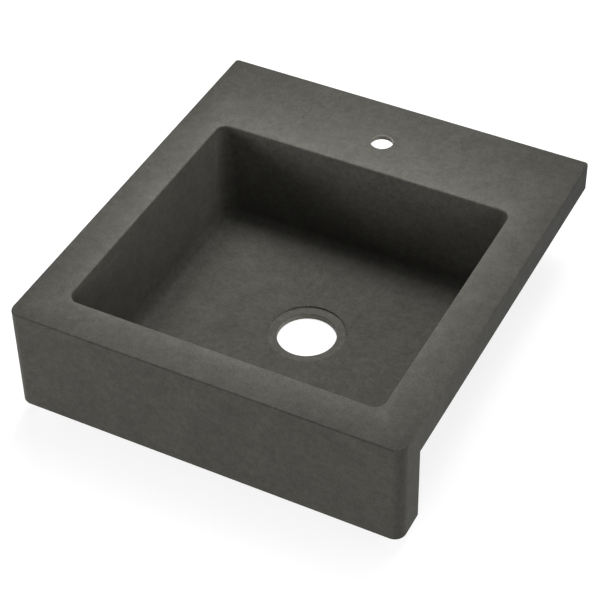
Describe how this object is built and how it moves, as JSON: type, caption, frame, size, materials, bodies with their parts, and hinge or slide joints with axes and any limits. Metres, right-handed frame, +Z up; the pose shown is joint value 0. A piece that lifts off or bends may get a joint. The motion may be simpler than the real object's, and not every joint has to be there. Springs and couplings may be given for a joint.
{
  "type": "kitchen sink",
  "caption": "Apron-front kitchen sink moulded as one thick stone-composite shell, with a square bowl, a drain seat, a tap ledge, foam seals under its edge and swivel fixing clips.",
  "frame": {"origin": "middle of the outline, at the level of the bowl's underside, on which the sink stands", "axes": "+X to the right seen from the apron, +Y from the apron to the rear edge, +Z up"},
  "size_m": [0.6, 0.66, 0.195],
  "materials": {
    "composite": "matt dark grey quartz composite with a fine grain",
    "foam": "closed-cell sealing foam",
    "brass": "turned brass",
    "zinc_steel": "bright zinc plate",
    "clip_steel": "formed zinc-plated strip"
  },
  "bodies": {
    "sink": {"sink_body": "composite", "seal_left": "foam", "seal_right": "foam", "seal_rear": "foam", "insert_left_front": "brass", "insert_left_back": "brass", "insert_right_front": "brass", "insert_right_back": "brass", "insert_rear_left": "brass", "insert_rear_right": "brass", "screw_left_front": "zinc_steel", "screw_left_back": "zinc_steel", "screw_right_front": "zinc_steel", "screw_right_back": "zinc_steel", "screw_rear_left": "zinc_steel", "screw_rear_right": "zinc_steel", "washer_left_front": "zinc_steel", "washer_left_back": "zinc_steel", "washer_right_front": "zinc_steel", "washer_right_back": "zinc_steel", "washer_rear_left": "zinc_steel", "washer_rear_right": "zinc_steel"},
    "left_front_clip": {"clip_left_front": "clip_steel"},
    "left_back_clip": {"clip_left_back": "clip_steel"},
    "right_front_clip": {"clip_right_front": "clip_steel"},
    "right_back_clip": {"clip_right_back": "clip_steel"},
    "rear_left_clip": {"clip_rear_left": "clip_steel"},
    "rear_right_clip": {"clip_rear_right": "clip_steel"}
  },
  "joints": [
    {"name": "left_front_swivel", "type": "hinge", "parent": "sink", "child": "left_front_clip", "pos_m": [-0.271, -0.16, 0.10055], "axis": [0, 0, 1], "range_deg": [0, 90]},
    {"name": "left_back_swivel", "type": "hinge", "parent": "sink", "child": "left_back_clip", "pos_m": [-0.271, 0.14, 0.10055], "axis": [0, 0, 1], "range_deg": [0, 90]},
    {"name": "right_front_swivel", "type": "hinge", "parent": "sink", "child": "right_front_clip", "pos_m": [0.271, -0.16, 0.10055], "axis": [0, 0, -1], "range_deg": [0, 90]},
    {"name": "right_back_swivel", "type": "hinge", "parent": "sink", "child": "right_back_clip", "pos_m": [0.271, 0.14, 0.10055], "axis": [0, 0, -1], "range_deg": [0, 90]},
    {"name": "rear_left_swivel", "type": "hinge", "parent": "sink", "child": "rear_left_clip", "pos_m": [-0.17, 0.301, 0.10055], "axis": [0, 0, 1], "range_deg": [0, 90]},
    {"name": "rear_right_swivel", "type": "hinge", "parent": "sink", "child": "rear_right_clip", "pos_m": [0.17, 0.301, 0.10055], "axis": [0, 0, -1], "range_deg": [0, 90]}
  ]
}
